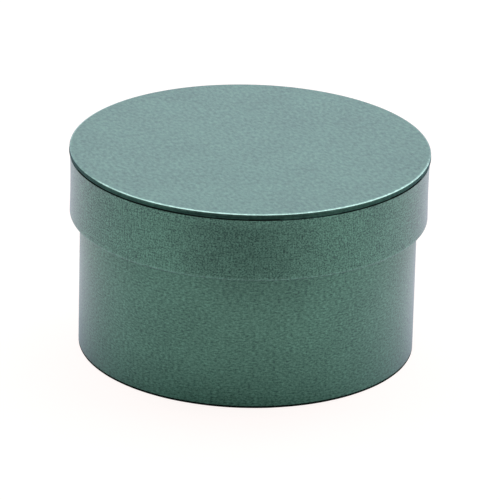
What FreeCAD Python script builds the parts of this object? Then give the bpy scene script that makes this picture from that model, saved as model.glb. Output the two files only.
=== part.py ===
# Round flower box: a set-up box of greyboard rings and discs, covered in pearl paper, lined with plain paper.
# Millimetres, +Z up, front towards -Y, origin at the centre of the underside.
import FreeCAD
import Part
import math
import os

# Driving sizes of the box
base_diameter = 150.0
base_height = 88.85
lid_height = 31.0
lid_clearance = 2.2  # radial gap between the base and the inside of the lid
disc_overhang = 0.6  # how far the top disc stands past the collar
rim_gap = 0.15  # between the rim of the base and the underside of the lid

# Sheet stock
wall_board = 1.5
bottom_board = 1.5
collar_board = 1.5
inner_board = 1.5
top_board = 1.5
cover_paper = 0.2
lining_paper = 0.15
kraft_tape = 0.12
glue = 0.05  # film between one sheet and the next

# Rolled rings
butt_gap = 0.2  # left between the two ends of a rolled strip
disc_fit = 0.1  # radial gap round a disc set into a ring
tape_width = 20.0
tape_end_gap = 1.0
base_joint_angle = 90.0
lid_joint_angle = 68.0

# Folded edges of the cover paper
base_turn_in = 15.0
base_turn_under = 14.0
collar_turn_in = 12.0
collar_turn_over = 12.0
disc_turn_under = 12.0
lap_width = 10.0  # overlap of the paper's two ends
lap_edge_gap = 0.5  # the lap stops this far from a fold
base_lap_angle = 106.0
lid_lap_angle = 84.0

# Snips that let a turned edge lie flat round a curve
snip_count = 36
snip_gap = 1.6  # opening of a snip at the edge of the paper
snip_fold_gap = 2.0  # a snip stops this far from the fold

# Linings and foot paper
base_lining_drop = 6.0  # rim of the base to the upper edge of the lining
lid_lining_rise = 5.0  # foot of the collar to the lower edge of the lining
lining_fit = 0.3  # between the edge of a lining disc and the wall lining
lining_lap_width = 8.0
base_lining_lap_angle = 74.0
lid_lining_lap_angle = 110.0
foot_margin = 3.0  # foot paper stops this far inside the wall

# Radii of the base, from the outside in
sheet = cover_paper + glue
base_radius = base_diameter / 2
wall_outer = base_radius - sheet
wall_inner = wall_outer - wall_board
base_turned = wall_inner - sheet
base_lining_outer = min(base_turned, wall_inner - glue - kraft_tape) - glue
base_lining_inner = base_lining_outer - lining_paper

# Radii of the lid, from the base outwards
lid_lining_inner = base_radius + lid_clearance
lid_lining_outer = lid_lining_inner + lining_paper
collar_inner = lid_lining_outer + glue + max(sheet, glue + kraft_tape)
collar_outer = collar_inner + collar_board
collar_radius = collar_outer + sheet
disc_radius = collar_radius + disc_overhang

# Levels of the base
foot_top = cover_paper
wall_low = foot_top + glue + sheet
floor_top = wall_low + bottom_board
wall_top = base_height - sheet

# Levels of the lid, from its underside up
lid_under = base_height + rim_gap
inner_low = lid_under + lining_paper + glue
collar_top = inner_low + inner_board
disc_low = collar_top + sheet + glue
top_low = disc_low + sheet
top_high = top_low + top_board
lid_top = top_high + sheet
collar_foot = lid_top - lid_height
collar_low = collar_foot + sheet

up = FreeCAD.Vector(0, 0, 1)
middle = FreeCAD.Vector(0, 0, 0)


def at(radius, level):
    return FreeCAD.Vector(radius, 0, level)


def left_of(start, end):
    along = (end - start).normalize()
    return FreeCAD.Vector(-along.z, 0, along.x)


def beside(points, offset):
    """Points of a section line moved `offset` to its left, past its right-hand corners."""
    lefts = [left_of(a, b) for a, b in zip(points, points[1:])]
    moved = [points[0] + lefts[0] * offset]
    for corner, before, after in zip(points[1:], lefts, lefts[1:]):
        out = (before + after).normalize()
        moved.append(corner + out * (offset / out.dot(before)))
    moved.append(points[-1] + lefts[-1] * offset)
    return moved


def spin(face, degrees=360.0):
    return face.revolve(middle, up, degrees)


def folded_sheet(points, thickness):
    """Round sheet folded along the section of the board that it is glued to."""
    back = beside(points, glue)
    front = beside(points, glue + thickness)
    return spin(Part.Face(Part.makePolygon(back + front[::-1] + back[:1])))


def ring_section(inner, outer, low, high):
    corners = [at(inner, low), at(outer, low), at(outer, high), at(inner, high), at(inner, low)]
    return Part.Face(Part.makePolygon(corners))


def curved_strip(inner, outer, low, high, middle_angle, width):
    """Upright strip `width` wide, lying on a round wall and centred on an angle."""
    sweep = math.degrees(width / inner)
    strip = spin(ring_section(inner, outer, low, high), sweep)
    strip.rotate(middle, up, middle_angle - sweep / 2)
    return strip


def disc(radius, low, thickness):
    return Part.makeCylinder(radius, thickness, at(0, low), up)


def rolled_strip(inner, outer, low, high, joint_angle):
    """Board strip rolled into a ring, open at the butt joint between its two ends."""
    ring = spin(ring_section(inner, outer, low, high))
    slot = Part.makeBox(outer, butt_gap, high - low, FreeCAD.Vector(inner / 2, -butt_gap / 2, low))
    slot.rotate(middle, up, joint_angle)
    return ring.cut(slot)


def lining_strip(inner, outer, low, high, lap_angle):
    """Strip of lining paper round the inside of a wall, with its second end lapped over the first."""
    ring = spin(ring_section(inner, outer, low, high))
    lap = curved_strip(inner - lining_paper, inner, low, high, lap_angle, lining_lap_width)
    return ring.fuse(lap).removeSplitter()


def snips(fold_at, edge_at, level, first_share):
    """Ring of V-shaped snips, each a point near the fold that opens towards the paper's edge."""
    tip = fold_at - snip_fold_gap
    mouth = edge_at - snip_gap
    spread = snip_gap / 2 * (tip - mouth) / (tip - edge_at)
    low = level - sheet
    corners = [(tip, 0), (mouth, spread), (mouth, -spread), (tip, 0)]
    wedge = Part.Face(Part.makePolygon([FreeCAD.Vector(x, y, low) for x, y in corners]))
    wedge = wedge.extrude(up * (2 * sheet))
    cuts = []
    for number in range(snip_count):
        cut = wedge.copy()
        cut.rotate(middle, up, (number + first_share) * 360 / snip_count)
        cuts.append(cut)
    return cuts


def base_wall():
    return rolled_strip(wall_inner, wall_outer, wall_low, wall_top, base_joint_angle)


def base_wall_tape():
    outer = wall_inner - glue
    low = floor_top + tape_end_gap
    high = wall_top - base_turn_in - tape_end_gap
    return curved_strip(outer - kraft_tape, outer, low, high, base_joint_angle, tape_width)


def base_bottom_board():
    return disc(wall_inner - disc_fit, wall_low, bottom_board)


def base_cover_paper():
    edge_at = wall_outer - base_turn_under
    section = [
        at(wall_inner, wall_top - base_turn_in),
        at(wall_inner, wall_top),
        at(wall_outer, wall_top),
        at(wall_outer, wall_low),
        at(edge_at, wall_low),
    ]
    low = wall_low + lap_edge_gap
    high = wall_top - lap_edge_gap
    lap = curved_strip(base_radius, base_radius + cover_paper, low, high, base_lap_angle, lap_width)
    paper = folded_sheet(section, cover_paper).fuse(lap).removeSplitter()
    return paper.cut(snips(wall_outer, edge_at, wall_low - glue, 0.5))


def base_foot_paper():
    return disc(base_radius - foot_margin, 0, cover_paper)


def base_wall_lining():
    high = base_height - base_lining_drop
    return lining_strip(base_lining_inner, base_lining_outer, floor_top, high, base_lining_lap_angle)


def base_floor_lining():
    return disc(base_lining_inner - lining_fit, floor_top + glue, lining_paper)


def lid_collar():
    return rolled_strip(collar_inner, collar_outer, collar_low, collar_top, lid_joint_angle)


def lid_collar_tape():
    outer = collar_inner - glue
    low = collar_low + collar_turn_in + tape_end_gap
    high = inner_low - tape_end_gap
    return curved_strip(outer - kraft_tape, outer, low, high, lid_joint_angle, tape_width)


def lid_inner_board():
    return disc(collar_inner - disc_fit, inner_low, inner_board)


def lid_collar_cover_paper():
    edge_at = collar_outer - collar_turn_over
    section = [
        at(edge_at, collar_top),
        at(collar_outer, collar_top),
        at(collar_outer, collar_low),
        at(collar_inner, collar_low),
        at(collar_inner, collar_low + collar_turn_in),
    ]
    low = collar_low + lap_edge_gap
    high = collar_top - lap_edge_gap
    lap = curved_strip(collar_radius, collar_radius + cover_paper, low, high, lid_lap_angle, lap_width)
    paper = folded_sheet(section, cover_paper).fuse(lap).removeSplitter()
    return paper.cut(snips(collar_outer, edge_at, collar_top + glue, 0.0))


def lid_top_board():
    return disc(disc_radius - sheet, top_low, top_board)


def lid_top_cover_paper():
    board_edge = disc_radius - sheet
    edge_at = board_edge - disc_turn_under
    section = [at(0, top_high), at(board_edge, top_high), at(board_edge, top_low), at(edge_at, top_low)]
    paper = folded_sheet(section, cover_paper)
    return paper.cut(snips(board_edge, edge_at, top_low - glue, 0.25))


def lid_collar_lining():
    low = collar_foot + lid_lining_rise
    return lining_strip(lid_lining_inner, lid_lining_outer, low, inner_low - glue, lid_lining_lap_angle)


def lid_inner_lining():
    return disc(lid_lining_inner - lining_fit, lid_under, lining_paper)


pieces = [
    base_wall,
    base_wall_tape,
    base_bottom_board,
    base_cover_paper,
    base_foot_paper,
    base_wall_lining,
    base_floor_lining,
    lid_collar,
    lid_collar_tape,
    lid_inner_board,
    lid_collar_cover_paper,
    lid_top_board,
    lid_top_cover_paper,
    lid_collar_lining,
    lid_inner_lining,
]

os.makedirs("parts", exist_ok=True)
for piece in pieces:
    shape = piece()
    shape.exportStep(f"parts/{piece.__name__}.step")
    print(piece.__name__, len(shape.Solids), "solid", round(shape.Volume, 1), "cubic mm", shape.isValid())
print("over all", round(2 * disc_radius, 3), "wide", round(lid_top, 3), "high")
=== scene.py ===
import math
import bpy
from mathutils import Matrix, Vector


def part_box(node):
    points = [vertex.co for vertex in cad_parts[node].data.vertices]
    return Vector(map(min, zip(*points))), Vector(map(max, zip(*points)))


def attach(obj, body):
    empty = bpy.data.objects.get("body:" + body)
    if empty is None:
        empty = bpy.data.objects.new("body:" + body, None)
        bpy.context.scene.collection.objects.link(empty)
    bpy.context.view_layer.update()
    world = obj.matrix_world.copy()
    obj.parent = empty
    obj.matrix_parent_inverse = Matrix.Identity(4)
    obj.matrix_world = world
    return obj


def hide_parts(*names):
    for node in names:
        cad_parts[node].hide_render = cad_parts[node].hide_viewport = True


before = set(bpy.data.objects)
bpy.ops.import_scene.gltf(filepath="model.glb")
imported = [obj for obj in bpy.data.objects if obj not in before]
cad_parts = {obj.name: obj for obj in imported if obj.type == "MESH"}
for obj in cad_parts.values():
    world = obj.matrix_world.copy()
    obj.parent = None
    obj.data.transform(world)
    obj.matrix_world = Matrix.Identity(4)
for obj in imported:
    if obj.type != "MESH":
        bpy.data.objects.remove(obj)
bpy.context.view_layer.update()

scene = bpy.context.scene
mm = 0.001
fullTurn = 2 * math.pi


class Link:  # a node's output that can be used in expressions
    def __init__(self, tree, socket=None):
        self.tree = tree
        self.socket = socket

    def node(self, kind, settings=None, inputs=None, output=0):
        made = self.tree.nodes.new(kind)
        for name, setting in (settings or {}).items():
            setattr(made, name, setting)
        for name, value in (inputs or {}).items():
            if isinstance(value, Link):
                self.tree.links.new(value.socket, made.inputs[name])
            else:
                made.inputs[name].default_value = value
        return Link(self.tree, made.outputs[output] if made.outputs else None)

    def other(self, output):  # another output of the same node
        return Link(self.tree, self.socket.node.outputs[output])

    def calc(self, operation, *values, clamp=False):
        settings = {"operation": operation, "use_clamp": clamp}
        return self.node("ShaderNodeMath", settings, dict(enumerate(values)))

    def __add__(self, value):
        return self.calc("ADD", self, value)

    def __radd__(self, value):
        return self.calc("ADD", value, self)

    def __sub__(self, value):
        return self.calc("SUBTRACT", self, value)

    def __rsub__(self, value):
        return self.calc("SUBTRACT", value, self)

    def __mul__(self, value):
        return self.calc("MULTIPLY", self, value)

    def __rmul__(self, value):
        return self.calc("MULTIPLY", value, self)

    def __truediv__(self, value):
        return self.calc("DIVIDE", self, value)

    def __rtruediv__(self, value):
        return self.calc("DIVIDE", value, self)

    def __gt__(self, value):
        return self.calc("GREATER_THAN", self, value)

    def __lt__(self, value):
        return self.calc("LESS_THAN", self, value)

    def clamped(self):
        return self.calc("ADD", self, 0.0, clamp=True)

    def through(self, function):  # SINE, FRACT, FLOOR and the like
        return self.calc(function, self)

    def rise(self, low, high):  # 0 below low, 1 above high, smooth between
        ends = {"Value": self, "From Min": low, "From Max": high}
        return self.node("ShaderNodeMapRange", {"interpolation_type": "SMOOTHSTEP"}, ends)

    def axis(self, name):
        return self.node("ShaderNodeSeparateXYZ", {}, {"Vector": self}, name)

    def vector(self, x, y, z=0.0):
        return self.node("ShaderNodeCombineXYZ", {}, {"X": x, "Y": y, "Z": z})

    def times(self, amount):  # vector times a number
        return self.node("ShaderNodeVectorMath", {"operation": "SCALE"}, {"Vector": self, "Scale": amount})

    def stretched(self, length, width, turn=0.0):  # drawn out along a direction in the sheet
        place = {"Vector": self, "Scale": (length, width, width), "Rotation": (0.0, 0.0, turn)}
        return self.node("ShaderNodeMapping", {"vector_type": "TEXTURE"}, place)

    def noise(self, scale, detail=2.0, rough=0.5, seed=0.0):
        inputs = {"Vector": self, "Scale": scale, "Detail": detail, "Roughness": rough, "W": seed}
        return self.node("ShaderNodeTexNoise", {"noise_dimensions": "4D"}, inputs)

    def cells(self, scale):  # one random grey per cell
        inputs = {"Vector": self, "Scale": scale}
        found = self.node("ShaderNodeTexVoronoi", {"feature": "F1"}, inputs, "Color")
        return self.node("ShaderNodeSeparateColor", {}, {"Color": found})

    def colours(self, first, second):  # this link is the factor
        settings = {"data_type": "RGBA", "clamp_factor": True}
        return self.node("ShaderNodeMix", settings, {0: self, 6: first, 7: second}, 2)


def newMaterial(name):
    material = bpy.data.materials.new(name)
    material.use_nodes = True
    material.node_tree.nodes.clear()
    return material, Link(material.node_tree)


def inMillimetres(maker, coords="Object"):  # a place on the piece, by its UV map or its own axes
    if coords == "UV":
        place = maker.node("ShaderNodeUVMap", {"uv_map": "UVMap"})
    else:
        place = maker.node("ShaderNodeTexCoord", {}, {}, "Object")
    return place.times(1 / mm)


def endMaterial(maker, constants, varying, height, relief, shadeOverlay=None):
    bump = maker.node("ShaderNodeBump", {}, {"Height": height, "Distance": relief, "Strength": 1.0})
    surface = maker.node("ShaderNodeBsdfPrincipled", {}, {**constants, **varying, "Normal": bump})
    # painted shade: a dark diffuse mixed over the surface by the given share
    if shadeOverlay:
        colour, share = shadeOverlay
        shadeDiffuse = maker.node("ShaderNodeBsdfDiffuse", {}, {"Color": colour, "Normal": bump})
        surface = maker.node("ShaderNodeMixShader", {}, {0: share, 1: surface, 2: shadeDiffuse})
    maker.node("ShaderNodeOutputMaterial", {}, {"Surface": surface})


# Pearl paper: mica in dark green lacquer over a fine paper grain
pearl = {
    "deep": (0.018, 0.083, 0.055, 1.0),
    "pale": (0.168, 0.390, 0.285, 1.0),
    "paleWearAndHighlight": (0.55, 0.86, 0.78, 1.0),  # pale where a fold has lost its lacquer, and a painted highlight along the folds
    "paintedShade": (0.010, 0.018, 0.015, 1.0),  # painted shade and dark reflection on the disc's edge, painted shadow in the gaps under the disc and the collar and along the base's foot, and on undersides
    "paintedShadeShare": 0.62,
    "paintedShadeLoss": 0.3,  # share of the painted shade given up where the edge also carries wear and painted highlight
    "metallic": 0.7,
    "metallicSpread": 0.25,  # from flake to flake
    "roughness": 0.36,
    "roughnessSpread": 0.16,
    "specularTint": (1.0, 0.94, 0.94, 1.0),
    "coat": 0.7,
    "coatRoughness": 0.2,
    "sheen": 0.3,
    "sheenRoughness": 0.6,
    "relief": 0.02 * mm,
    "fibreRelief": 0.6,
    "speckRelief": 0.4,
}
pearlPattern = {  # lengths in millimetres, scales per millimetre
    "threadWidth": 0.7,
    "threadLength": 6.0,
    "flake": 0.16,
    "speckScale": 1.8,
    "cloudScale": 0.045,
    "weaveShare": 0.35,
    "cloudShare": 0.35,
    "flakeShare": 0.2,
}
pearlWearAndHighlight = {
    "spotScale": 0.45,  # per millimetre
    "spotEdge": (0.45, 0.75),
    "patch": 100.0,  # length of a stretch of edge with wear and painted highlight, in millimetres
    "patchEdge": (0.42, 0.58),
    "patchSeed": 1170.0,
    "least": 0.2,
    "spotShare": 0.5,
    "shelter": 0.85,  # wear and painted highlight kept off the runs with painted shade
}
wallGrain = {
    "coords": "UV",
    "length": 1.5,  # of a fibre, in millimetres
    "width": 0.7,
    "turn": 0.0,
    "speck": 0.5,
    "weave": 0.4,
    "contrast": 1.85,
    "sheenTint": (0.55, 0.5, 1.0, 1.0),
    "patchy": 0.0,  # 0 for even wear and painted highlight, 1 for bare gaps between the patches
    "seed": 3.0,
}
collarGrain = {
    "coords": "UV",
    "length": 0.8,
    "width": 0.7,
    "turn": 0.0,
    "speck": 0.7,
    "weave": 1.0,
    "contrast": 2.4,
    "sheenTint": (0.55, 0.5, 1.0, 1.0),
    "patchy": 0.0,
    "seed": 13.0,
}
discGrain = {
    "coords": "Object",
    "length": 2.5,
    "width": 1.5,
    "turn": 111.0,  # degrees
    "speck": 0.35,
    "weave": 0.0,
    "contrast": 1.1,
    "sheenTint": (0.0, 0.4, 1.0, 1.0),
    "patchy": 0.85,
    "seed": 23.0,
}


def pearlPaper(name, grain):
    material, maker = newMaterial(name)
    place = inMillimetres(maker, grain["coords"])
    seed = grain["seed"]
    drawn = place.stretched(grain["length"], grain["width"], math.radians(grain["turn"]))
    fibres = drawn.noise(1.0, detail=1.0, seed=seed)
    threadWidth, threadLength = pearlPattern["threadWidth"], pearlPattern["threadLength"]
    warp = place.stretched(threadWidth, threadLength).noise(1.0, detail=1.0, seed=seed + 1)
    weft = place.stretched(threadLength, threadWidth).noise(1.0, detail=1.0, seed=seed + 2)
    speck = place.noise(pearlPattern["speckScale"], detail=1.0, rough=0.6, seed=seed + 3)
    cloud = place.noise(pearlPattern["cloudScale"], seed=seed + 4)
    flake = place.cells(1 / pearlPattern["flake"])
    weave = (pearlPattern["weaveShare"] * grain["weave"]) * (warp + weft - 1)
    grit = (fibres - 0.5) + grain["speck"] * (speck - 0.5) + weave
    mottle = pearlPattern["cloudShare"] * (cloud - 0.5) + pearlPattern["flakeShare"] * (flake - 0.5)
    tone = 0.5 + grain["contrast"] * grit + mottle
    colour = tone.clamped().colours(pearl["deep"], pearl["pale"])

    # folds carry wear and a painted highlight in spots and patches; runs marked rim carry painted shade,
    # dark and without gloss
    fold = maker.node("ShaderNodeAttribute", {"attribute_name": "fold"}, {}, "Fac")
    rim = maker.node("ShaderNodeAttribute", {"attribute_name": "rim"}, {}, "Fac")
    spots = place.noise(pearlWearAndHighlight["spotScale"], detail=3.0, rough=0.65, seed=seed + 5)
    spots = spots.rise(*pearlWearAndHighlight["spotEdge"])
    patches = place.noise(1 / pearlWearAndHighlight["patch"], detail=0.0, seed=pearlWearAndHighlight["patchSeed"])
    gaps = 1 - patches.rise(*pearlWearAndHighlight["patchEdge"])
    wearAndHighlight = fold * (pearlWearAndHighlight["least"] + pearlWearAndHighlight["spotShare"] * spots) * (1 - grain["patchy"] * gaps)
    wearAndHighlight = (wearAndHighlight * (1 - pearlWearAndHighlight["shelter"] * rim)).clamped()
    paintedShadeMix = pearl["paintedShadeShare"] * rim * (1 - pearl["paintedShadeLoss"] * wearAndHighlight)

    varying = {
        "Base Color": wearAndHighlight.colours(colour, pearl["paleWearAndHighlight"]),
        "Metallic": pearl["metallic"] + pearl["metallicSpread"] * (flake - 0.5),
        "Roughness": pearl["roughness"] + pearl["roughnessSpread"] * (0.5 - speck),
        "Coat Weight": pearl["coat"] * (1 - rim).clamped(),
    }
    constants = {
        "Specular Tint": pearl["specularTint"],
        "Sheen Weight": pearl["sheen"],
        "Sheen Roughness": pearl["sheenRoughness"],
        "Sheen Tint": grain["sheenTint"],
        "Coat Roughness": pearl["coatRoughness"],
    }
    height = pearl["fibreRelief"] * fibres + pearl["speckRelief"] * speck
    endMaterial(maker, constants, varying, height, pearl["relief"], (pearl["paintedShade"], paintedShadeMix))
    return material


# Lining paper: uncoated cream stock with faint fibres
lining = {
    "light": (0.90, 0.88, 0.82, 1.0),
    "dark": (0.79, 0.76, 0.68, 1.0),
    "fibre": (0.52, 0.46, 0.37, 1.0),
    "pulpScale": 1.1,  # per millimetre
    "cloudScale": 0.06,
    "pulpShare": 0.8,
    "cloudShare": 0.6,
    "strand": (2.0, 0.33),  # length and width in millimetres
    "strandTurn": 0.6,  # radians
    "strandEdge": (0.66, 0.74),
    "strandShare": 0.3,
    "roughness": 0.78,
    "roughnessSpread": 0.12,
    "relief": 0.03 * mm,
}


def liningPaper(name, coords):
    material, maker = newMaterial(name)
    place = inMillimetres(maker, coords)
    pulp = place.noise(lining["pulpScale"], detail=4.0, rough=0.6, seed=2.0)
    cloud = place.noise(lining["cloudScale"], seed=5.0)
    drawn = place.stretched(*lining["strand"], lining["strandTurn"])
    strand = drawn.noise(1.0, detail=3.0, rough=0.6, seed=9.0).rise(*lining["strandEdge"])
    strands = lining["strandShare"] * strand
    tone = (0.5 + lining["pulpShare"] * (pulp - 0.5) + lining["cloudShare"] * (cloud - 0.5)).clamped()
    colour = strands.colours(tone.colours(lining["dark"], lining["light"]), lining["fibre"])
    roughness = lining["roughness"] + lining["roughnessSpread"] * (pulp - 0.5)
    endMaterial(maker, {}, {"Base Color": colour, "Roughness": roughness}, pulp + strands, lining["relief"])
    return material


# Greyboard: pressed waste pulp with dark flecks
greyboard = {
    "light": (0.44, 0.40, 0.33, 1.0),
    "dark": (0.31, 0.28, 0.23, 1.0),
    "fleck": (0.12, 0.11, 0.10, 1.0),
    "pulpScale": 0.8,  # per millimetre
    "pulpShare": 1.1,
    "fleckScale": 0.7,
    "fleckEdge": (0.66, 0.72),
    "fleckShare": 0.7,
    "roughness": 0.88,
    "roughnessSpread": 0.1,
    "relief": 0.06 * mm,
}


def greyboardStock():
    material, maker = newMaterial("greyboard")
    place = inMillimetres(maker)
    pulp = place.noise(greyboard["pulpScale"], detail=5.0, rough=0.65, seed=1.0)
    fleck = place.noise(greyboard["fleckScale"], detail=3.0, rough=0.7, seed=6.0)
    flecks = greyboard["fleckShare"] * fleck.rise(*greyboard["fleckEdge"])
    tone = (0.5 + greyboard["pulpShare"] * (pulp - 0.5)).clamped()
    colour = flecks.colours(tone.colours(greyboard["dark"], greyboard["light"]), greyboard["fleck"])
    roughness = greyboard["roughness"] + greyboard["roughnessSpread"] * (pulp - 0.5)
    endMaterial(maker, {}, {"Base Color": colour, "Roughness": roughness}, pulp, greyboard["relief"])
    return material


# Kraft tape: ribbed brown paper, gummed on the back
kraft = {
    "light": (0.52, 0.34, 0.18, 1.0),
    "dark": (0.38, 0.23, 0.11, 1.0),
    "pulpScale": 0.9,  # per millimetre
    "pulpShare": 0.9,
    "ribs": 1.4,  # per millimetre
    "ribShare": 0.12,
    "ribRelief": 0.2,
    "roughness": 0.66,
    "roughnessSpread": 0.15,
    "relief": 0.03 * mm,
}


def kraftTape():
    material, maker = newMaterial("kraftTape")
    place = inMillimetres(maker)
    pulp = place.noise(kraft["pulpScale"], detail=4.0, rough=0.6, seed=4.0)
    ribs = (place.axis("Z") * (kraft["ribs"] * fullTurn)).through("SINE")
    tone = (0.5 + kraft["pulpShare"] * (pulp - 0.5) + kraft["ribShare"] * ribs).clamped()
    colour = tone.colours(kraft["dark"], kraft["light"])
    roughness = kraft["roughness"] + kraft["roughnessSpread"] * (pulp - 0.5)
    height = pulp + kraft["ribRelief"] * ribs
    endMaterial(maker, {}, {"Base Color": colour, "Roughness": roughness}, height, kraft["relief"])
    return material


pearlWall = pearlPaper("pearlWall", wallGrain)
pearlCollar = pearlPaper("pearlCollar", collarGrain)
pearlDisc = pearlPaper("pearlDisc", discGrain)
liningStrip = liningPaper("liningStrip", "UV")
liningDisc = liningPaper("liningDisc", "Object")
boardStock = greyboardStock()
tapeStock = kraftTape()
print("materials:", len(bpy.data.materials))


# Geometry nodes: a sheet turned round the axis along a folded section, lapped, snipped and a little uneven
sheetInputs = {
    "Section": "Geometry",
    "Tabs": "Int",
    "Columns per Tab": "Int",
    "Lap Columns": "Int",
    "Ramp Columns": "Int",
    "Start": "Float",
    "Lap Lift": "Float",
    "Tab Gap": "Float",
    "Pull": "Float",
    "Wave": "Float",
    "Wave Size": "Float",
    "Seed": "Int",
    "Material": "Material",
}
sheetLimits = {
    "seamShift": 0.25,  # of a tab, clear of the place where its fraction starts again
    "seamWidth": 0.01,
    "onTab": 0.001,
    "onLap": 0.99,
    "weld": 0.005 * mm,
}


def sheetTree():
    tree = bpy.data.node_groups.new("foldedSheet", "GeometryNodeTree")
    tree.interface.new_socket("Sheet", in_out="OUTPUT", socket_type="NodeSocketGeometry")
    for label, kind in sheetInputs.items():
        tree.interface.new_socket(label, in_out="INPUT", socket_type="NodeSocket" + kind)
    maker = Link(tree)
    given = maker.node("NodeGroupInput")
    section = given.other("Section")
    perTab = given.other("Columns per Tab")
    fullColumns = given.other("Tabs") * perTab
    allColumns = fullColumns + given.other("Lap Columns")
    rows = maker.node("GeometryNodeAttributeDomainSize", {"component": "MESH"}, {"Geometry": section})

    # a flat grid, one column for each step round and one row for each point of the section
    size = {"Size X": allColumns, "Size Y": rows - 1, "Vertices X": allColumns + 1, "Vertices Y": rows}
    grid = maker.node("GeometryNodeMeshGrid", {}, size)
    gridPlace = maker.node("GeometryNodeInputPosition")
    column = (gridPlace.axis("X") + allColumns / 2).through("ROUND")
    row = (gridPlace.axis("Y") + (rows - 1) / 2).through("ROUND")

    def named(name):
        return maker.node("GeometryNodeInputNamedAttribute", {"data_type": "FLOAT"}, {"Name": name})

    def atRow(name):  # a value that the section's points carry
        inputs = {"Geometry": section, "Value": named(name), "Index": row}
        return maker.node("GeometryNodeSampleIndex", {"data_type": "FLOAT", "domain": "POINT"}, inputs)

    def stored(geometry, name, value, kind="FLOAT", domain="POINT"):
        inputs = {"Geometry": geometry, "Name": name, "Value": value}
        return maker.node("GeometryNodeStoreNamedAttribute", {"data_type": kind, "domain": domain}, inputs)

    sheet = grid
    for name in ("fold", "rim", "tab", "pull", "lap"):
        sheet = stored(sheet, name, atRow(name))
    sheet = stored(sheet, "column", column)
    flat = maker.vector(column / fullColumns * atRow("girth"), atRow("along"))
    sheet = stored(sheet, "UVMap", flat, "FLOAT2", "CORNER")

    # round the axis, with the snips drawn open towards the edge
    inTab = ((column + 0.5) / perTab).through("FRACT")
    drawn = (0.5 - inTab) * perTab * atRow("tab") * given.other("Tab Gap")
    angle = given.other("Start") - (column + 0.5 + drawn) / fullColumns * fullTurn
    radius = atRow("radius")
    turned = maker.vector(radius * angle.through("COSINE"), radius * angle.through("SINE"), atRow("level"))
    sheet = maker.node("GeometryNodeSetPosition", {}, {"Geometry": sheet, "Position": turned})
    sheet = sheet.other("Geometry")
    tabShare = (named("column") + 0.5) / perTab
    seam = (tabShare + sheetLimits["seamShift"]).through("FRACT")
    fromSeam = (seam - sheetLimits["seamShift"]).through("ABSOLUTE")
    snip = (fromSeam < sheetLimits["seamWidth"]) * (named("tab") > sheetLimits["onTab"])
    # turned edges butt, only the wall laps
    spare = (named("column") > fullColumns) * (named("lap") < sheetLimits["onLap"])
    cut = {"Geometry": sheet, "Selection": snip + spare}
    sheet = maker.node("GeometryNodeDeleteGeometry", {"domain": "FACE", "mode": "ALL"}, cut)

    # lap over the first end, pull of each tab on its fold, and slight waves
    place = maker.node("GeometryNodeInputPosition")
    onto = named("column").rise(fullColumns - given.other("Ramp Columns"), fullColumns - 0.5)
    tabNumber = tabShare.through("FLOOR")
    tabNumber = tabNumber.calc("MODULO", tabNumber, given.other("Tabs"))
    draw = {"ID": tabNumber, "Seed": given.other("Seed"), 2: 0.0, 3: 1.0}
    level = maker.node("FunctionNodeRandomValue", {"data_type": "FLOAT"}, draw, 1)
    draw = {"ID": tabNumber, "Seed": given.other("Seed") + 1, 2: -0.5, 3: 0.5}
    tilt = maker.node("FunctionNodeRandomValue", {"data_type": "FLOAT"}, draw, 1)
    here = tabShare.through("FRACT") - 0.5
    pulled = named("pull") * given.other("Pull") * (level + tilt * here)
    swell = place.noise(1 / given.other("Wave Size"), seed=given.other("Seed"))
    lap = onto * given.other("Lap Lift") * named("lap")
    lift = lap + pulled + given.other("Wave") * 2 * (swell - 0.5)
    normal = maker.node("GeometryNodeInputNormal")
    sheet = maker.node("GeometryNodeSetPosition", {}, {"Geometry": sheet, "Offset": normal.times(lift)})
    sheet = sheet.other("Geometry")
    weld = {"Geometry": sheet, "Distance": sheetLimits["weld"]}
    closed = maker.node("GeometryNodeMergeByDistance", {}, weld)
    solid = maker.node("GeometryNodeRealizeInstances", {}, {"Geometry": closed})
    paint = {"Geometry": solid, "Material": given.other("Material")}
    painted = maker.node("GeometryNodeSetMaterial", {}, paint)
    maker.node("NodeGroupOutput", {}, {"Sheet": painted})
    return tree


foldedSheet = sheetTree()


# Section of a sheet: corners as (radius, level), its front to the left, folds rounded
sectionSteps = {
    "run": 4.0 * mm,
    "beside": 0.3 * mm,  # a row this close to a fold keeps the flat part flat
    "fold": 7,  # steps round a fold
    "snipTip": 2.0 * mm,  # a snip stops this far from the fold
    "wearReach": 0.85 * mm,
    "pullReach": 0.8 * mm,
    "lapEdge": 0.5 * mm,  # a lap stops this far from a fold
}


def sectionPoints(corners, foldRadii):  # each point's place, its fold or None, and its run
    points = [(Vector(corners[0]), None, 0)]
    for fold, foldRadius in enumerate(foldRadii):
        before, corner, after = [Vector(point) for point in corners[fold:fold + 3]]
        into = (corner - before).normalized()
        out = (after - corner).normalized()
        turn = into.angle(out)
        start = corner - into * foldRadius * math.tan(turn / 2)
        inward = (out - into * out.dot(into)).normalized()
        for step in range(sectionSteps["fold"] + 1):
            share = step / sectionSteps["fold"]
            rise = foldRadius * (1 - math.cos(turn * share))
            arc = start + into * foldRadius * math.sin(turn * share) + inward * rise
            points.append((arc, fold, fold + round(share)))
    points.append((Vector(corners[-1]), None, len(foldRadii)))
    return points


def sectionRuns(points):  # adds rows along the runs between folds
    near = [sectionSteps["beside"], sectionSteps["wearReach"]]
    filled = [points[0]]
    for (a, foldA, run), (b, foldB, nextRun) in zip(points, points[1:]):
        length = (b - a).length
        if foldA is None or foldA != foldB:
            pieces = max(1, math.ceil(length / sectionSteps["run"]))
            shares = {number / pieces for number in range(1, pieces)}
            shares |= {reach / length for reach in near if foldA is not None}
            shares |= {1 - reach / length for reach in near if foldB is not None}
            filled += [(a.lerp(b, share), None, run) for share in sorted(shares) if 0 < share < 1]
        filled.append((b, foldB, nextRun))
    return filled


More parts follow.
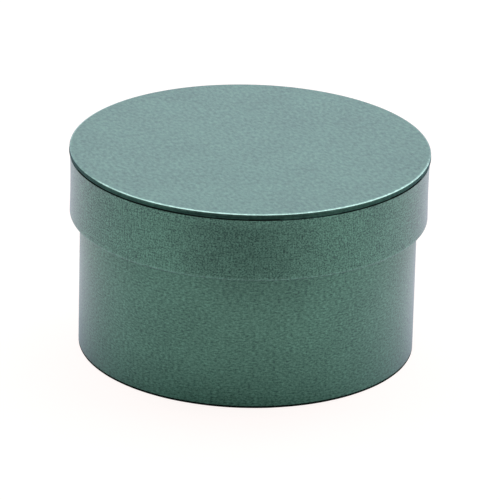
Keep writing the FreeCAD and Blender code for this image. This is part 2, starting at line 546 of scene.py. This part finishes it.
def sectionMesh(name, corners, sheet):
    plain = (0.0,) * len(corners)
    foldWearAndHighlight = sheet.get("foldWearAndHighlight", plain)
    paintedShadeByRun = sheet.get("paintedShadeByRun", plain)
    points = sectionRuns(sectionPoints(corners, sheet.get("foldRadii", ())))
    places = [point for point, fold, run in points]
    along = [0.0]
    for a, b in zip(places, places[1:]):
        along.append(along[-1] + (b - a).length)
    fromEdge = along if sheet.get("snipped") == "first" else [along[-1] - total for total in along]
    folds = [number for number, (point, fold, run) in enumerate(points) if fold is not None]
    foldAt = tabLength = 0.0
    if sheet.get("snipped"):
        foldAt = fromEdge[folds[0] if sheet["snipped"] == "first" else folds[-1]]
        tabLength = foldAt - sectionSteps["snipTip"]
    lapFrom, lapTo = along[0], along[-1]
    if "lapRuns" in sheet:
        first, last = sheet["lapRuns"]
        lapFrom = max(along[f] for f in folds if points[f][1] == first - 1) + sectionSteps["lapEdge"]
        lapTo = min(along[f] for f in folds if points[f][1] == last) - sectionSteps["lapEdge"]
    mesh = bpy.data.meshes.new(name)
    mesh.from_pydata([(p.x, 0.0, p.y) for p in places], [(i, i + 1) for i in range(len(places) - 1)], [])
    values = {"radius": [], "level": [], "along": along, "girth": []}
    values |= {"fold": [], "rim": [], "tab": [], "pull": [], "lap": []}
    for number, (point, fold, run) in enumerate(points):
        wearAndHighlight = [0.0]
        for f in folds:
            reach = abs(along[number] - along[f]) / sectionSteps["wearReach"]
            wearAndHighlight.append(foldWearAndHighlight[points[f][1]] * (1 - reach))
        values["radius"].append(point.x)
        values["level"].append(point.y)
        values["girth"].append(fullTurn * sheet["girthRadius"])
        # fold: wear and painted highlight near the folds; rim: painted shade of the run
        values["fold"].append(max(wearAndHighlight))
        values["rim"].append(paintedShadeByRun[run])
        values["tab"].append(max(0.0, 1 - fromEdge[number] / tabLength) if tabLength else 0.0)
        reach = abs(fromEdge[number] - foldAt) / sectionSteps["pullReach"]
        values["pull"].append(max(0.0, 1 - reach) if tabLength else 0.0)
        values["lap"].append(1.0 if lapFrom <= along[number] <= lapTo else 0.0)
    for label, numbers in values.items():
        mesh.attributes.new(label, "FLOAT", "POINT").data.foreach_set("value", numbers)
    return mesh


around = {
    "tabs": 36,
    "perTab": 12,  # columns
    "ramp": 3,  # columns over which the lap climbs
    "lapLift": 1.05,  # of the paper's thickness
    "lapAngle": 90.0,  # at the back, for sheets that name no other
    "waveSize": 25 * mm,
    "sharpAngle": 35.0,
}


def turnedSheet(name, corners, sheet):
    piece = bpy.data.objects.new(name, sectionMesh(name, corners, sheet))
    scene.collection.objects.link(piece)
    turner = piece.modifiers.new("sheet", "NODES")
    turner.node_group = foldedSheet
    columns = around["tabs"] * around["perTab"]
    lapColumns = round(sheet.get("lapWidth", 0.0) / (fullTurn * sheet["girthRadius"]) * columns)
    lapAngle = math.radians(sheet.get("lapAngle", around["lapAngle"]))
    values = {
        "Tabs": around["tabs"],
        "Columns per Tab": around["perTab"],
        "Lap Columns": lapColumns,
        "Ramp Columns": around["ramp"],
        "Start": lapAngle + lapColumns / columns * fullTurn / 2,
        "Lap Lift": around["lapLift"] * sheet["thickness"] if lapColumns else 0.0,
        "Tab Gap": sheet.get("tabGap", 0.0),
        "Pull": sheet.get("pull", 0.0),
        "Wave": sheet.get("wave", 0.0),
        "Wave Size": around["waveSize"],
        "Seed": sheet["seed"],
        "Material": sheet["material"],
    }
    for item in foldedSheet.interface.items_tree:
        if item.in_out == "INPUT" and item.name in values:
            turner[item.identifier] = values[item.name]
    if sheet["thickness"]:
        solid = piece.modifiers.new("thickness", "SOLIDIFY")
        solid.thickness = sheet["thickness"]
        solid.offset = -1.0
        solid.use_even_offset = True
    graph = bpy.context.evaluated_depsgraph_get()
    plain = bpy.data.meshes.new_from_object(piece.evaluated_get(graph), depsgraph=graph)
    piece.modifiers.clear()
    piece.data = plain
    plain.name = name
    plain.polygons.foreach_set("use_smooth", [True] * len(plain.polygons))
    plain.set_sharp_from_angle(angle=math.radians(around["sharpAngle"]))
    for label in ("column", "tab", "pull", "lap"):
        if label in plain.attributes:
            plain.attributes.remove(plain.attributes[label])
    print(name, len(plain.polygons), "faces")
    return piece


def seat(piece, body, node):
    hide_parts(node)
    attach(piece, body)


coveredBoard = 2.0 * mm  # board with paper on both faces

# Base: cover paper, turned in at the rim and under at the foot
baseCover = {
    "thickness": 0.2 * mm,
    "turnIn": 15.25 * mm,
    "turnUnder": 14.25 * mm,
    "footShadowBand": 1.0 * mm,  # painted shadow where the box stands on the floor
    "footDraw": 0.05 * mm,
    "foldRadii": (0.5 * mm, 0.5 * mm, 2.0 * mm, 0.25 * mm),
    "foldWearAndHighlight": (0.4, 0.4, 0.0, 0.25),  # wear and painted highlight, fold by fold
    "paintedShadeByRun": (0.0, 0.0, 0.0, 1.6, 0.3),  # painted shade, run by run between the folds
    "snipped": "last",
    "tabGap": 0.12,
    "pull": 0.05 * mm,  # of the tabs on their fold
    "wave": 0.06 * mm,
    "lapWidth": 10.0 * mm,
    "lapAngle": 106.0,
    "lapRuns": (2, 2),  # first and last run that laps
    "seed": 11,
    "material": pearlWall,
}


def makeBaseCover():
    low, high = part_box("base_cover_paper")
    outer, rim, under = high.x, high.z, low.z
    inner = outer - coveredBoard
    corners = [
        (inner, rim - baseCover["turnIn"]),
        (inner, rim),
        (outer, rim),
        (outer, under + baseCover["footShadowBand"]),
        (outer - baseCover["footDraw"], under),
        (outer - baseCover["turnUnder"], under),
    ]
    piece = turnedSheet("baseCover", corners, {**baseCover, "girthRadius": outer})
    seat(piece, "base", "base_cover_paper")


# Lid: cover papers of the collar and the top disc, and the disc's pressed board
collarCover = {
    "thickness": 0.2 * mm,
    "turnIn": 12.25 * mm,
    "turnOver": 12.25 * mm,
    "flare": (0.42 * mm, 0.18 * mm),  # pressed out under the disc, and below that
    "headDrop": 0.8 * mm,  # dark band in the shade of the disc
    "flareDrop": 3.9 * mm,
    "waist": 0.03 * mm,
    "waistRise": 14.0 * mm,
    "splay": 0.22 * mm,  # pushed out by the turn-in at the foot
    "foldRadii": (0.3 * mm, 2 * mm, 50 * mm, 400 * mm, 0.8 * mm, 0.4 * mm),
    # wear and painted highlight at the foot; painted shade on the turn-over, the band under the disc and
    # under the foot
    "foldWearAndHighlight": (0.0, 0.0, 0.0, 0.0, 0.42, 0.3),
    "paintedShadeByRun": (1.6, 1.6, 0.0, 0.0, 0.0, 1.5, 0.0),
    "snipped": "first",
    "tabGap": 0.12,
    "pull": 0.04 * mm,
    "wave": 0.06 * mm,
    "lapWidth": 10.0 * mm,
    "lapAngle": 84.0,
    "lapRuns": (1, 4),
    "seed": 23,
    "material": pearlCollar,
}


def makeCollarCover():
    low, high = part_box("lid_collar_cover_paper")
    outer, top, foot = high.x, high.z, low.z
    inner = outer - coveredBoard
    corners = [
        (outer - collarCover["turnOver"], top),
        (outer + collarCover["flare"][0], top),
        (outer + collarCover["flare"][0], top - collarCover["headDrop"]),
        (outer + collarCover["flare"][1], top - collarCover["flareDrop"]),
        (outer - collarCover["waist"], foot + collarCover["waistRise"]),
        (outer + collarCover["splay"], foot),
        (inner, foot),
        (inner, foot + collarCover["turnIn"]),
    ]
    piece = turnedSheet("collarCover", corners, {**collarCover, "girthRadius": outer})
    seat(piece, "lid", "lid_collar_cover_paper")


discCover = {
    "thickness": 0.2 * mm,
    "turnUnder": 12.25 * mm,
    "shoulderWidth": 0.65 * mm,  # pressed down by the die that cut the board
    "shoulderDrop": 0.27 * mm,
    "crown": 0.14 * mm,  # paper over its glue on the flat
    "foldRadii": (1.2 * mm, 0.3 * mm, 0.35 * mm),
    # wear and a painted highlight on the shoulder's edge; painted shade on the disc's edge and underside
    "foldWearAndHighlight": (0.0, 4.4, 0.6),
    "paintedShadeByRun": (0.0, 0.0, 1.0, 1.0),
    "snipped": "last",
    "tabGap": 0.12,
    "pull": 0.55 * mm,
    "wave": 0.04 * mm,
    "seed": 37,
    "material": pearlDisc,
}


def pressedEdge(outer, top):
    return [
        (0.0, top),
        (outer - discCover["shoulderWidth"], top),
        (outer, top - discCover["shoulderDrop"]),
    ]


def makeDiscCover():
    low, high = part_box("lid_top_cover_paper")
    outer, under = high.x, low.z
    top = high.z + discCover["crown"]
    corners = pressedEdge(outer, top) + [(outer, under), (outer - discCover["turnUnder"], under)]
    piece = turnedSheet("discCover", corners, {**discCover, "girthRadius": outer})
    seat(piece, "lid", "lid_top_cover_paper")


topBoard = {
    "thickness": 0.0,  # a closed solid, so no sheet thickness is added
    "foldRadii": (1.0 * mm, 0.2 * mm, 0.1 * mm),
    "sink": 0.08 * mm,  # keeps the pressed edge clear of the paper
    "seed": 41,
    "material": boardStock,
}


def makeTopBoard():
    low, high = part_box("lid_top_board")
    outer = high.x
    flat, shoulder, *edge = pressedEdge(outer, high.z)
    corners = [flat, shoulder] + [(radius, level - topBoard["sink"]) for radius, level in edge]
    corners += [(outer, low.z), (0.0, low.z)]
    piece = turnedSheet("topBoard", corners, {**topBoard, "girthRadius": outer})
    seat(piece, "lid", "lid_top_board")


# Linings of both bodies, and the foot paper
liningStrips = {
    "baseWallLining": {"body": "base", "node": "base_wall_lining", "lapAngle": 74.0, "seed": 53},
    "collarLining": {"body": "lid", "node": "lid_collar_lining", "lapAngle": 110.0, "seed": 59},
}
liningSheet = {"thickness": 0.15 * mm, "wave": 0.05 * mm, "lapWidth": 8.0 * mm, "material": liningStrip}


def makeLiningStrips():
    for name, strip in liningStrips.items():
        low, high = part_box(strip["node"])
        front = high.x - liningSheet["thickness"]
        sheet = {**liningSheet, **strip, "girthRadius": front}
        piece = turnedSheet(name, [(front, low.z), (front, high.z)], sheet)
        seat(piece, strip["body"], strip["node"])


flatPapers = {
    "baseFloorLining": {
        "body": "base",
        "node": "base_floor_lining",
        "slot": "lining_paper",
        "material": liningDisc,
        "faceUp": True,
        "wave": 0.02 * mm,
        "seed": 61,
    },
    "lidInnerLining": {
        "body": "lid",
        "node": "lid_inner_lining",
        "slot": "lining_paper",
        "material": liningDisc,
        "faceUp": False,
        "wave": 0.02 * mm,
        "seed": 67,
    },
    "footPaper": {
        "body": "base",
        "node": "base_foot_paper",
        "slot": "pearl_paper",
        "material": pearlDisc,
        "faceUp": False,
        "wave": 0.0,
        "seed": 71,
    },
}


def makeFlatPapers():
    for name, paper in flatPapers.items():
        low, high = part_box(paper["node"])
        if paper["faceUp"]:
            corners = [(0.0, high.z), (high.x, high.z)]
        else:
            corners = [(high.x, low.z), (0.0, low.z)]
        sheet = {**paper, "thickness": high.z - low.z, "girthRadius": high.x}
        piece = turnedSheet(name, corners, sheet)
        seat(piece, paper["body"], paper["node"])


makeBaseCover()
makeCollarCover()
makeDiscCover()
makeTopBoard()
makeLiningStrips()
makeFlatPapers()

# Boards and tapes that stay as they are in the frame
cadFinishes = {
    "base_wall": boardStock,
    "base_bottom_board": boardStock,
    "lid_collar": boardStock,
    "lid_inner_board": boardStock,
    "base_wall_tape": tapeStock,
    "lid_collar_tape": tapeStock,
}
for node, finish in cadFinishes.items():
    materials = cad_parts[node].data.materials
    materials.clear()
    materials.append(finish)
print("pieces done")


# Studio: pale floor, soft boxes, white surroundings and a dark card before the front
studio = {
    "floorSize": 6.0,
    "floorLevel": -0.02 * mm,  # a hair below the foot paper
    "floorGrey": 0.92,
    "floorGlow": (0.95, 0.90, 0.885, 1.0),  # as the camera sees it
    "floorShade": 0.2,
    "mirrorGlow": (0.035, 0.085, 0.07, 1.0),  # as the pearl paper mirrors it
    "mirrorShade": 1.0,
    "ambient": 0.12,
    "surround": 1.0,
    "lampAim": (0.0, 0.0, 0.05),
}


def plainSheet(name, corners, material):
    mesh = bpy.data.meshes.new(name)
    mesh.from_pydata(corners, [], [(0, 1, 2, 3)])
    mesh.materials.append(material)
    sheet = bpy.data.objects.new(name, mesh)
    scene.collection.objects.link(sheet)
    return sheet


def grey(amount):
    return (amount, amount, amount, 1.0)


def makeFloor():
    material, maker = newMaterial("floorPaper")
    path = maker.node("ShaderNodeLightPath")

    def whitened(glow, shade):
        lit = maker.node("ShaderNodeBsdfDiffuse", {}, {"Color": grey(shade)})
        light = maker.node("ShaderNodeEmission", {}, {"Color": glow, "Strength": 1.0})
        return maker.node("ShaderNodeAddShader", {}, {0: lit, 1: light})

    plain = maker.node("ShaderNodeBsdfDiffuse", {}, {"Color": grey(studio["floorGrey"])})
    mirrored = (path.other("Is Glossy Ray") + path.other("Is Transmission Ray")).clamped()
    inGloss = whitened(studio["mirrorGlow"], studio["mirrorShade"])
    surface = maker.node("ShaderNodeMixShader", {}, {0: mirrored, 1: plain, 2: inGloss})
    inView = whitened(studio["floorGlow"], studio["floorShade"])
    surface = maker.node("ShaderNodeMixShader", {}, {0: path.other("Is Camera Ray"), 1: surface, 2: inView})
    maker.node("ShaderNodeOutputMaterial", {}, {"Surface": surface})
    half = studio["floorSize"] / 2
    low = studio["floorLevel"]
    corners = [(-half, -half, low), (half, -half, low), (half, half, low), (-half, half, low)]
    plainSheet("floor", corners, material)


frontCard = {"away": 0.272, "halfWidth": 0.21, "height": 0.13, "grey": 0.04}  # seen only in the gloss


def makeFrontCard():
    material, maker = newMaterial("darkCard")
    dark = maker.node("ShaderNodeBsdfDiffuse", {}, {"Color": grey(frontCard["grey"])})
    maker.node("ShaderNodeOutputMaterial", {}, {"Surface": dark})
    side, y, top = frontCard["halfWidth"], -frontCard["away"], frontCard["height"]
    corners = [(-side, y, 0), (side, y, 0), (side, y, top), (-side, y, top)]
    card = plainSheet("frontCard", corners, material)
    card.visible_camera = False
    card.visible_diffuse = False
    card.visible_shadow = False


def makeWorld():
    world = bpy.data.worlds.new("studio")
    world.use_nodes = True
    world.node_tree.nodes.clear()
    maker = Link(world.node_tree)
    path = maker.node("ShaderNodeLightPath")
    seen = path.other("Is Camera Ray") + path.other("Is Glossy Ray") + path.other("Is Transmission Ray")
    strength = studio["ambient"] + seen.clamped() * (studio["surround"] - studio["ambient"])
    light = maker.node("ShaderNodeBackground", {}, {"Color": grey(1.0), "Strength": strength})
    maker.node("ShaderNodeOutputWorld", {}, {"Surface": light})
    scene.world = world


softBoxes = {  # places and sizes in metres
    "overhead": {
        "place": (0.0, 0.47, 1.35),
        "size": (1.8, 1.3),
        "watts": 3.6,
        "colour": (1.0, 1.0, 1.0),
        "mirrored": True,
    },
    "overheadFill": {
        "place": (0.0, 0.47, 1.35),
        "size": (1.8, 1.3),
        "watts": 14.2,
        "colour": (0.99, 0.98, 1.02),
        "mirrored": False,  # lights the paper without showing in its gloss
    },
    "right": {
        "place": (1.3, 0.6, 0.8),
        "size": (1.6, 1.3),
        "watts": 5.0,
        "colour": (1.0, 1.0, 1.0),
        "mirrored": True,
    },
}


def makeLights():
    aim = Vector(studio["lampAim"])
    for name, soft in softBoxes.items():
        lamp = bpy.data.lights.new(name, "AREA")
        lamp.shape = "RECTANGLE"
        lamp.size, lamp.size_y = soft["size"]
        lamp.energy = soft["watts"]
        lamp.color = soft["colour"]
        box = bpy.data.objects.new(name, lamp)
        box.location = soft["place"]
        box.rotation_euler = (aim - box.location).to_track_quat("-Z", "Y").to_euler()
        box.visible_camera = False
        box.visible_glossy = soft["mirrored"]
        scene.collection.objects.link(box)


view = {
    "distance": 2.2230,
    "tilt": 22.34,  # degrees
    "roll": 1.48,
    "aim": (1.033 * mm, 0.0, 43.95 * mm),
    "focalPixels": 4982.0,
    "imagePixels": 500,
    "sensor": 36.0,
}


def makeCamera():
    lens = bpy.data.cameras.new("camera")
    lens.sensor_width = view["sensor"]
    lens.lens = view["focalPixels"] / view["imagePixels"] * view["sensor"]
    camera = bpy.data.objects.new("camera", lens)
    tilt = math.radians(view["tilt"])
    back = Vector((0.0, -math.cos(tilt), math.sin(tilt))) * view["distance"]
    turn = Matrix.Rotation(math.pi / 2 - tilt, 4, "X") @ Matrix.Rotation(math.radians(view["roll"]), 4, "Z")
    camera.matrix_world = Matrix.Translation(Vector(view["aim"]) + back) @ turn
    scene.collection.objects.link(camera)
    scene.camera = camera


makeFloor()
makeFrontCard()
makeWorld()
makeLights()
makeCamera()
scene.view_settings.view_transform = "Standard"
print("studio done")
